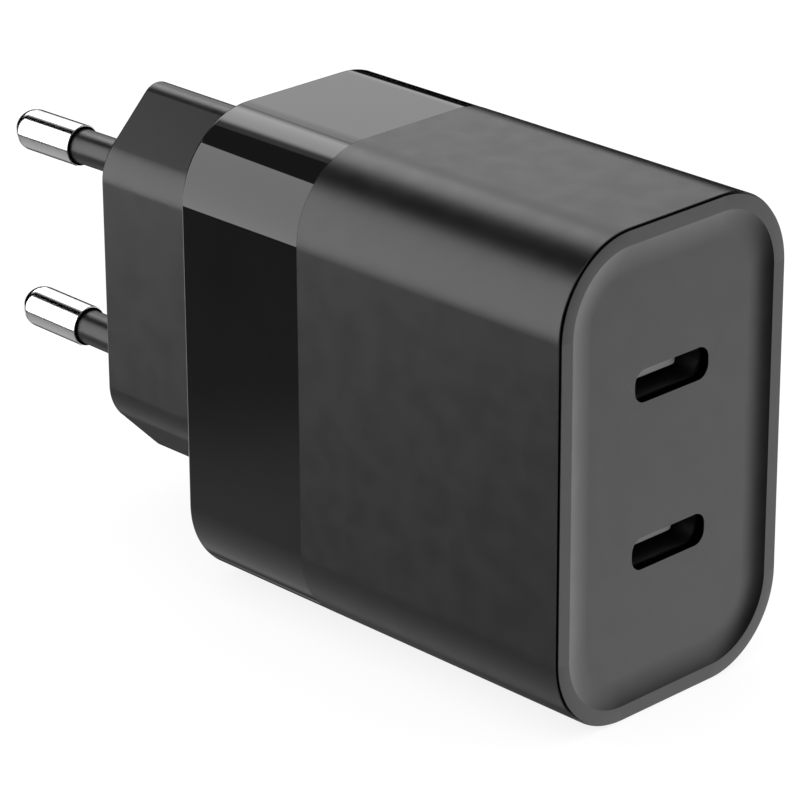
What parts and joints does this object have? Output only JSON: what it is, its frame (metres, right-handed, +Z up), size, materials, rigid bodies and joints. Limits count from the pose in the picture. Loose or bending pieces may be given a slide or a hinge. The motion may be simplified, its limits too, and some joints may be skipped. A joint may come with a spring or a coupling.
{
  "type": "usb wall charger",
  "caption": "Upright wall charger: rounded body with a gloss rear band and matte sleeve, dished front panel with stacked USB-C ports, hexagonal plug stub with round European pins.",
  "frame": {"origin": "midway between the two plug pins, on the plug's engagement face", "axes": "+Y into the wall socket, -Y towards the port panel, +X to the right when seen from the port panel, +Z up"},
  "size_m": [0.0272, 0.0837, 0.0442],
  "materials": {
    "gloss_black_plastic": "high gloss, moulded",
    "matte_black_plastic": "fine satin texture",
    "panel_black_plastic": "fine matte texture",
    "plug_black_plastic": "fine matte texture",
    "nickel_plate": "polished nickel plate",
    "collar_black_nylon": "semi-matte nylon",
    "port_steel": "stamped, dark plated",
    "port_black_plastic": "moulded",
    "gold_contact": "gold flash",
    "board_green": "solder-masked glass laminate",
    "tin_lead": "tinned",
    "brass_strip": "stamped strip",
    "fuse_grey": "moulded",
    "ntc_green": "lacquered ceramic",
    "film_yellow": "moulded box",
    "ceramic_blue": "lacquered ceramic",
    "ferrite": "sintered, dark grey",
    "enamel_copper": "enamelled wire",
    "can_aluminium": "drawn can",
    "sleeve_black": "heat-shrunk film",
    "bung_rubber": "moulded rubber",
    "bobbin_black": "moulded phenolic",
    "tape_yellow": "polyester tape",
    "chip_black": "moulded epoxy",
    "pad_grey": "soft silicone",
    "sheet_white": "aramid sheet",
    "header_black": "moulded"
  },
  "bodies": {
    "root": {"rear_shell": "gloss_black_plastic", "front_sleeve": "matte_black_plastic", "front_cap": "panel_black_plastic", "plug_body": "plug_black_plastic", "plug_pin_upper": "nickel_plate", "plug_pin_lower": "nickel_plate", "pin_collar_upper": "collar_black_nylon", "pin_collar_lower": "collar_black_nylon", "pin_contact_upper": "brass_strip", "pin_contact_lower": "brass_strip", "port_shell_upper": "port_steel", "port_shell_lower": "port_steel", "port_tongue_upper": "port_black_plastic", "port_tongue_lower": "port_black_plastic", "port_contacts": "gold_contact", "main_board": "board_green", "component_leads": "tin_lead", "port_board": "board_green", "board_header": "header_black", "header_pins": "tin_lead", "fuse": "fuse_grey", "ntc_thermistor": "ntc_green", "x_capacitor": "film_yellow", "y_capacitor": "ceramic_blue", "choke_core": "ferrite", "choke_windings": "enamel_copper", "bridge_rectifier": "chip_black", "bulk_capacitor_cans": "can_aluminium", "bulk_capacitor_seals": "bung_rubber", "bulk_capacitor_sleeves": "sleeve_black", "transformer_core": "ferrite", "transformer_bobbin": "bobbin_black", "transformer_pins": "tin_lead", "primary_winding": "enamel_copper", "winding_tape": "tape_yellow", "secondary_winding": "enamel_copper", "optocoupler": "chip_black", "output_capacitors": "can_aluminium", "output_capacitor_bases": "bung_rubber", "output_inductor": "ferrite", "inductor_winding": "enamel_copper", "power_switch_chip": "chip_black", "rectifier_chip": "chip_black", "controller_chip": "chip_black", "chip_components": "chip_black", "heat_spreader": "can_aluminium", "thermal_pad": "pad_grey", "insulation_sheet": "sheet_white"}
  },
  "joints": []
}
